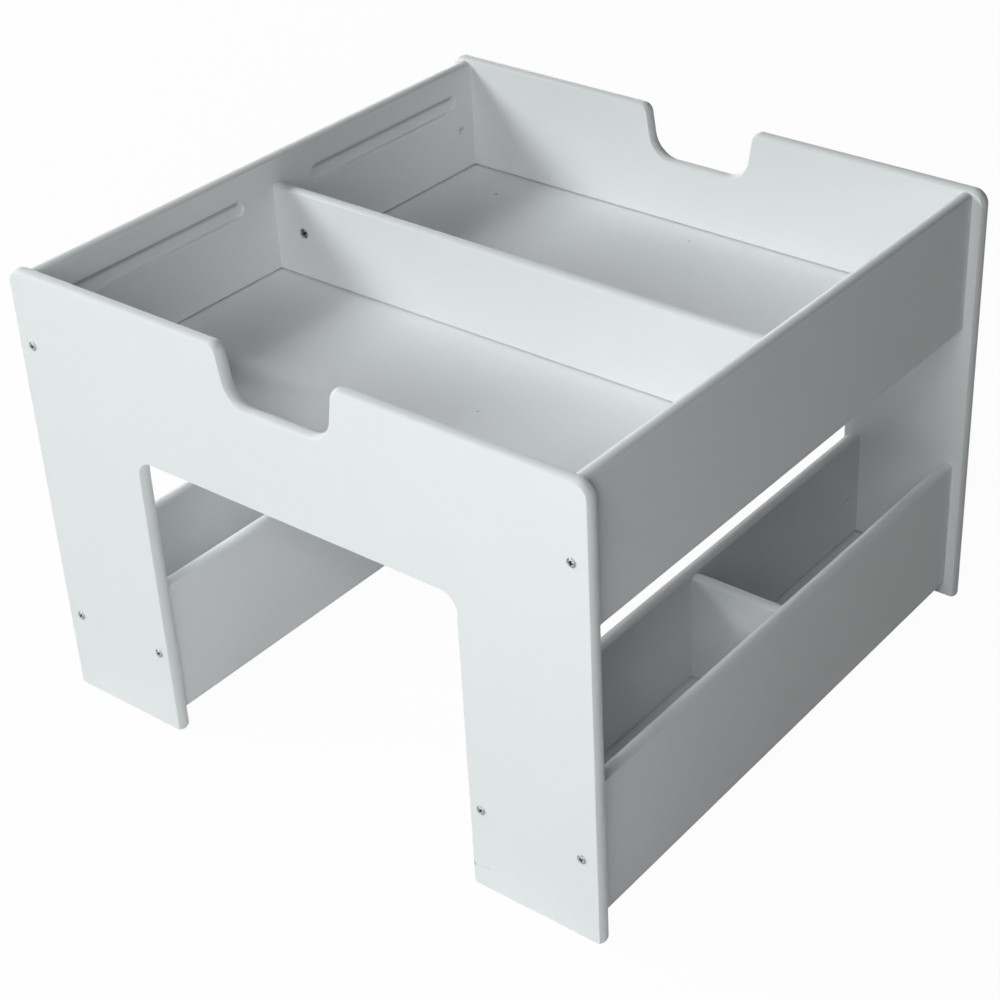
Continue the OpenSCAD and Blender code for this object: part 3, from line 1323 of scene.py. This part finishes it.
def mirrored_pair(reach: float, radius: float, depth: float, mouth: float) -> list[Recess]:
    """Holes at the bolts' height, the same distance from a face's middle on both sides.

    Args:
        reach: Distance from the middle.
        radius: Radius of the holes.
        depth: Depth of the holes.
        mouth: Radius of their eased edge.

    Returns:
        The two holes.
    """
    return [Recess(s * reach, FIT.bolt_lift, radius, depth, mouth=mouth) for s in (-1, 1)]


def long_board(node: str, open_side: int, slots: Sequence[Recess] = ()) -> StraightBoard:
    """A board along the table, with a barrel nut's hole near each end.

    Args:
        node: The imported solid.
        open_side: Sign along X of the face that is grooved and drilled.
        slots: Routed slots in that face.

    Returns:
        The board.
    """
    low, high = node_box(node)
    reach = (high[1] - low[1]) / 2 - FIT.barrel_setback
    barrels = mirrored_pair(reach, FIT.barrel_hole, FIT.barrel_depth, FIT.barrel_mouth)
    joints = dowel_pair(FIT.cross_dowel_spread, FIT.panel_dowel_depth)
    shank = FIT.barrel_setback - FIT.barrel_hole - FIT.barrel_web
    ends = [
        Recess(0.0, FIT.bolt_lift, FIT.bolt_hole, shank),
        *dowel_pair(FIT.dowel_spread, FIT.board_dowel_depth),
    ]
    return StraightBoard(node, "y", (open_side,), {open_side: [*barrels, *joints, *slots]}, ends)


def cross_board(node: str, dowel_depth: float, cams: Sequence[Recess] = ()) -> StraightBoard:
    """A board across the table or a bay, grooved on both faces.

    Args:
        node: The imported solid.
        dowel_depth: Depth of the dowel holes in its ends.
        cams: Holes for cam locks in its front face.

    Returns:
        The board.
    """
    ends = dowel_pair(FIT.cross_dowel_spread, dowel_depth)
    return StraightBoard(node, "x", (-1, 1), {-1: list(cams)}, ends)


@dataclass(frozen=True)
class HeadForm:
    """Round face with a cross recess, as a profile turned about its axis.

    The profile runs from the outside in, as (radius, height, painted shade), and goes on to
    the centre as a shallow dome.
    """

    profile: tuple[Triple, ...]
    dome: float
    wing: float
    wing_width: float
    sink: float
    taper: float
    rings: int = 22
    sectors: int = 96

    def surface(self) -> tuple[np.ndarray, np.ndarray]:
        """The face as a height over a disc.

        Inside the profile the height rises by the dome as a parabola. Out of it goes a
        cross whose depth grows linearly over the taper inside its wings' sides.

        Returns:
            Lattice (sectors, rings, 3) of (x, z, height), from the outside in, and the
            painted shade at each point, full in the cross.
        """
        turned = np.array(self.profile)
        inner, shoulder = turned[-1, 0], turned[-1, 1]
        run_in = inner * (1 - np.linspace(0.0, 1.0, self.rings)[1:])
        radius = np.concatenate([turned[:, 0], run_in])
        level = np.concatenate([turned[:, 1], shoulder + self.dome * (1 - (run_in / inner) ** 2)])
        ring_shade = np.concatenate([turned[:, 2], np.zeros(len(run_in))])
        angle = np.arange(self.sectors) * 2 * math.pi / self.sectors
        x = radius[None, :] * np.cos(angle)[:, None]
        z = radius[None, :] * np.sin(angle)[:, None]
        arm = np.maximum(np.abs(x), np.abs(z)) - self.wing
        side = np.minimum(np.abs(x), np.abs(z)) - self.wing_width
        cross = np.clip(-np.maximum(arm, side) / self.taper, 0.0, 1.0)
        height = np.broadcast_to(level, x.shape) - cross * self.sink
        # The cross recess is painted fully dark as shade, and the profile's rings by their share
        return np.stack([x, z, height], axis=-1), np.maximum(cross, ring_shade[None, :])

    def add_to(self, shell: Shell, foot: Triple, out: int, turn: float) -> np.ndarray:
        """Add the face to a surface.

        Args:
            shell: The surface.
            foot: Place of the axis, at height 0.
            out: Sign along Y in which the height grows.
            turn: Turn of the cross about the axis, in degrees.

        Returns:
            The face's outer ring, as points.
        """
        surface, grime = self.surface()
        x, z = spun(surface[..., 0], surface[..., 1], math.radians(turn))
        face = np.array(foot) + np.stack([x, out * surface[..., 2], z], axis=-1)
        shell.lattice(face, closed=True, grime=grime)
        return face[:, 0]


# Profile rows are (radius, height, painted shade); the shade darkens the foot and groove ring
BOLT_HEAD = HeadForm(
    profile=(
        (4.28, 0.00, 0.6), (4.28, 0.34, 0.3), (4.23, 0.54, 0.0), (4.11, 0.68, 0.0),
        (3.92, 0.76, 0.0), (3.74, 0.75, 0.0), (3.62, 0.66, 0.3), (3.52, 0.50, 0.9),
        (3.38, 0.47, 1.0), (3.28, 0.60, 0.6), (3.20, 0.84, 0.1), (3.04, 0.98, 0.0),
        (2.76, 1.08, 0.0),
    ),
    dome=0.2,
    wing=2.55,
    wing_width=0.88,
    sink=1.05,
    taper=0.3,
)
# Its third column is painted shade, at the rim's foot and the sunk inner ring
CAM_FACE = HeadForm(
    profile=(
        (5.00, -0.40, 0.6), (4.95, -0.12, 0.2), (4.80, 0.00, 0.0), (4.30, 0.00, 0.0),
        (3.90, -0.05, 0.1),
    ),
    dome=0.0,
    wing=3.9,
    wing_width=1.22,
    sink=3.2,
    taper=0.35,
)


@dataclass
class ScrewSet:
    """The six bolts through one end panel, each turned as it was left."""

    end: End
    places: Sequence[tuple[float, float]]
    head: HeadForm = BOLT_HEAD
    shank: float = 2.5
    shank_length: float = 38.5
    turns: tuple[float, ...] = (12.0, 63.0, 38.0, 81.0, 27.0, 50.0)

    def build(self) -> None:
        """Make the bolts: the head's surface, its flat underside and a round shank."""
        node = f"{self.end.word}_panel_bolts"
        seat, out = panel_planes(self.end)[0], self.end.value
        shell = Shell()
        for (x, z), turn in zip(self.places, cycle(self.turns)):
            foot = np.array([x, seat, z])
            rim = self.head.add_to(shell, foot, out, turn)
            arm = self.shank * unit(rim - foot)
            neck = foot + arm
            tip = neck - np.array([0.0, out * self.shank_length, 0.0])
            shell.lattice(np.stack([rim, neck, tip], axis=1), closed=True)
            shell.fill([tip])
        name = f"pan_head_{node}"
        add_piece(name, shell.mesh(name), ZINC, node)


@dataclass
class CamLocks:
    """The two cam locks in the tray divider's front face."""

    node: str = "divider_cam_locks"
    radius: float = 5.0
    depth: float = 9.6
    sunk: float = 0.3
    turn: float = 30.0
    head: HeadForm = CAM_FACE

    def build(self) -> None:
        """Make the cam locks: the sunk face with its cross, and the barrel behind it."""
        low, high = node_box(self.node)
        front, z = low[1], (low[2] + high[2]) / 2
        shell = Shell()
        for side in Side:
            foot = (side.value * (high[0] - self.radius), front + self.sunk, z)
            rim = self.head.add_to(shell, foot, -1, self.turn)
            back = rim.copy()
            back[:, 1] = front + self.depth
            shell.lattice(np.stack([rim, back], axis=1), closed=True)
            shell.fill([back])
        name = "cross_slotted_cam_locks"
        add_piece(name, shell.mesh(name), ZINC, self.node)


class Table:
    """The whole table."""

    def bolts(self) -> list[tuple[float, float]]:
        """Places of the bolts, over the ends of the boards that they hold.

        Returns:
            Rows of (x, z), from the left rail's bolt to the right inner board's.
        """
        places = []
        for side in Side:
            for part in ("upper_rail", "outer_board", "inner_board"):
                low, high = node_box(f"{side.word}_{part}")
                places.append(((low[0] + high[0]) / 2, low[2] + FIT.bolt_lift))
        return places

    def panel_grooves(self) -> list[Groove]:
        """Grooves in an end panel's inner face, around the ends of the floors.

        Returns:
            The grooves of the tray, the left bay and the right bay.
        """
        rail = node_box("left_upper_rail")[0][2]
        board = node_box("left_outer_board")[0][2]
        reach = node_box("front_tray_floor")[1][0] + FIT.groove_play
        near = node_box("right_front_bay_floor")[0][0] - FIT.groove_play
        runs = [(-reach, reach, rail), (-reach, -near, board), (near, reach, board)]
        low, high = FIT.groove_low, FIT.groove_high
        return [Groove(u0, u1, v + low, v + high, FIT.groove_depth) for u0, u1, v in runs]

    def long_boards(self) -> None:
        """Build the rails and the bays' boards, with the cross board of each bay."""
        for side in Side:
            word, outward = side.word, side.value
            rail = long_board(f"{word}_upper_rail", -outward, RAIL_SLOTS.recesses())
            rail.build(f"slotted_{word}_rail")
            for place, opens in (("outer", -outward), ("inner", outward)):
                board = long_board(f"{word}_{place}_board", opens)
                board.build(f"{word}_{place}_side_board")
            low_cross = cross_board(f"{word}_bay_divider", FIT.bay_dowel_depth)
            low_cross.build(f"{word}_low_cross_board")

    def build(self) -> None:
        """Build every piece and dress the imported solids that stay."""
        bolts = self.bolts()
        for end in End:
            EndPanel(end).build(bolts, self.panel_grooves())
            ScrewSet(end, bolts).build()
        self.long_boards()
        reach = node_box("tray_divider")[1][0] - FIT.cam_setback
        cams = mirrored_pair(reach, FIT.cam_hole, FIT.cam_depth, FIT.cam_mouth)
        cross_board("tray_divider", FIT.board_dowel_depth, cams).build("tray_cross_board")
        CamLocks().build()
        self.dress()

    def finish(self, node: str) -> Finish:
        """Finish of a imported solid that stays.

        Args:
            node: Name of the solid.

        Returns:
            The finish.
        """
        if node.endswith("floor"):
            return SHEET_PAINT
        if node.endswith("dowels") and node != "divider_cam_dowels":
            return BEECH
        return PALE_NUT if "nuts" in node else ZINC

    def dress(self) -> None:
        """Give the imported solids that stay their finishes."""
        for node, solid in sorted(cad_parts.items()):
            if solid.hide_render:
                continue
            finish = self.finish(node)
            solid.data.materials.clear()
            solid.data.materials.append(finish.material())
            LOG.info("%s: kept, dressed in %s", node, finish.name)


WHITE = (1.0, 1.0, 1.0)
SOFT_WHITE = (0.955, 1.0, 1.0)
COOL_WHITE = (0.93, 0.97, 1.0)
STRIP_WHITE = (0.975, 0.995, 1.0)


@dataclass(frozen=True)
class Lamp:
    """Soft rectangular lamp that looks at the table, in metres and watts."""

    name: str
    place: Triple
    size: tuple[float, float]
    power: float
    colour: Triple = SOFT_WHITE
    target: Triple = (0.0, 0.0, 0.2)

    def build(self) -> None:
        """Add the lamp to the scene, turned towards its target."""
        light = bpy.data.lights.new(self.name, "AREA")
        light.shape = "RECTANGLE"
        light.size, light.size_y = self.size
        light.energy = self.power
        light.color = self.colour
        lamp = bpy.data.objects.new(self.name, light)
        lamp.location = self.place
        look = Vector(self.target) - Vector(self.place)
        lamp.rotation_euler = look.to_track_quat("-Z", "Y").to_euler()
        bpy.context.scene.collection.objects.link(lamp)


@dataclass
class Studio:
    """Camera, floor, surroundings and lamps, in metres, millimetres of lens and degrees."""

    ambient: float = 0.005
    ambient_colour: Triple = (0.98, 1.0, 1.02)
    floor_size: float = 14.0
    floor_colour: Triple = (0.90, 0.90, 0.90)
    floor_shadow: float = 0.03
    sensor: float = 36.0
    lens: float = 77.53
    shift: tuple[float, float] = (-0.12, -0.0429)
    sight: float = 60.0
    camera_place: Triple = (1.0578, -1.2774, 1.2171)
    camera_turn: Triple = (58.41, 0.981, 35.984)
    lamps: tuple[Lamp, ...] = (
        Lamp("softbox_low", (-2.03, -3.25, 1.91), (1.2, 1.2), 39.0),
        Lamp("softbox_side", (-2.97, -1.45, 2.79), (1.2, 1.2), 66.0),
        Lamp("fill_from_the_left", (-3.86, 1.41, 1.07), (1.3, 1.3), 24.0, COOL_WHITE),
        Lamp("fill_from_the_rear", (-2.64, 3.15, 1.07), (1.3, 1.3), 26.0, COOL_WHITE),
        Lamp("near_card", (0.70, -1.20, 0.80), (0.5, 0.5), 3.2, COOL_WHITE),
        Lamp("strip_from_the_right", (0.75, -2.20, 2.28), (1.2, 0.06), 16.2, STRIP_WHITE),
    )

    def camera(self) -> None:
        """Stand the camera where the photograph was taken from."""
        data = bpy.data.cameras.new("photo_camera")
        data.sensor_width = self.sensor
        data.lens = self.lens
        data.shift_x, data.shift_y = self.shift
        data.clip_end = self.sight
        camera = bpy.data.objects.new("photo_camera", data)
        camera.location = self.camera_place
        camera.rotation_euler = Euler([math.radians(a) for a in self.camera_turn])
        bpy.context.scene.collection.objects.link(camera)
        bpy.context.scene.camera = camera

    def seen_white(
        self, sheet: NodeSheet, kinds: tuple[str, str], own: Socket, cover: float
    ) -> None:
        """Show white to rays from the camera, from gloss and through glass.

        Args:
            sheet: Sheet of the floor's material or of the world.
            kinds: Types of the node that is white and of the sheet's output.
            own: Shader that all other rays meet.
            cover: Share of the white over that shader.
        """
        path = sheet.add("ShaderNodeLightPath").outputs
        gloss = sheet.math("MAXIMUM", path["Is Glossy Ray"], path["Is Transmission Ray"])
        seen = sheet.math("MAXIMUM", path["Is Camera Ray"], gloss)
        share = sheet.math("MULTIPLY", seen, cover)
        white = sheet.add(kinds[0], {"Color": opaque(WHITE), "Strength": 1.0}).outputs[0]
        both = sheet.add("ShaderNodeMixShader", {0: share, 1: own, 2: white})
        sheet.add(kinds[1], {0: both.outputs[0]})

    def surroundings(self) -> None:
        """White surroundings for whoever looks, and a plain soft light for the table."""
        world = bpy.data.worlds.new("white_studio")
        bpy.context.scene.world = world
        sheet = NodeSheet(cleared(world))
        light = {"Color": opaque(self.ambient_colour), "Strength": self.ambient}
        soft = sheet.add("ShaderNodeBackground", light).outputs[0]
        self.seen_white(sheet, ("ShaderNodeBackground", "ShaderNodeOutputWorld"), soft, 1.0)

    def floor(self) -> None:
        """A wide pale floor that looks white and keeps a faint shadow."""
        half = self.floor_size / 2
        corners = [(-half, -half, 0), (half, -half, 0), (half, half, 0), (-half, half, 0)]
        mesh = bpy.data.meshes.new("studio_floor")
        mesh.from_pydata(corners, [], [(0, 1, 2, 3)])
        floor = bpy.data.objects.new("studio_floor", mesh)
        bpy.context.scene.collection.objects.link(floor)
        material = bpy.data.materials.new("studio_floor")
        sheet = NodeSheet(cleared(material))
        pale = sheet.add("ShaderNodeBsdfDiffuse", {"Color": opaque(self.floor_colour)}).outputs[0]
        kinds = ("ShaderNodeEmission", "ShaderNodeOutputMaterial")
        self.seen_white(sheet, kinds, pale, 1.0 - self.floor_shadow)
        mesh.materials.append(material)

    def build(self) -> None:
        """Set the studio up."""
        self.camera()
        self.surroundings()
        self.floor()
        for lamp in self.lamps:
            lamp.build()
        bpy.context.scene.view_settings.view_transform = "Standard"


def main() -> None:
    """Build the table and its studio."""
    logging.basicConfig(level=logging.INFO, format="%(message)s")
    Studio().build()
    Table().build()


if __name__ == "__main__":
    main()
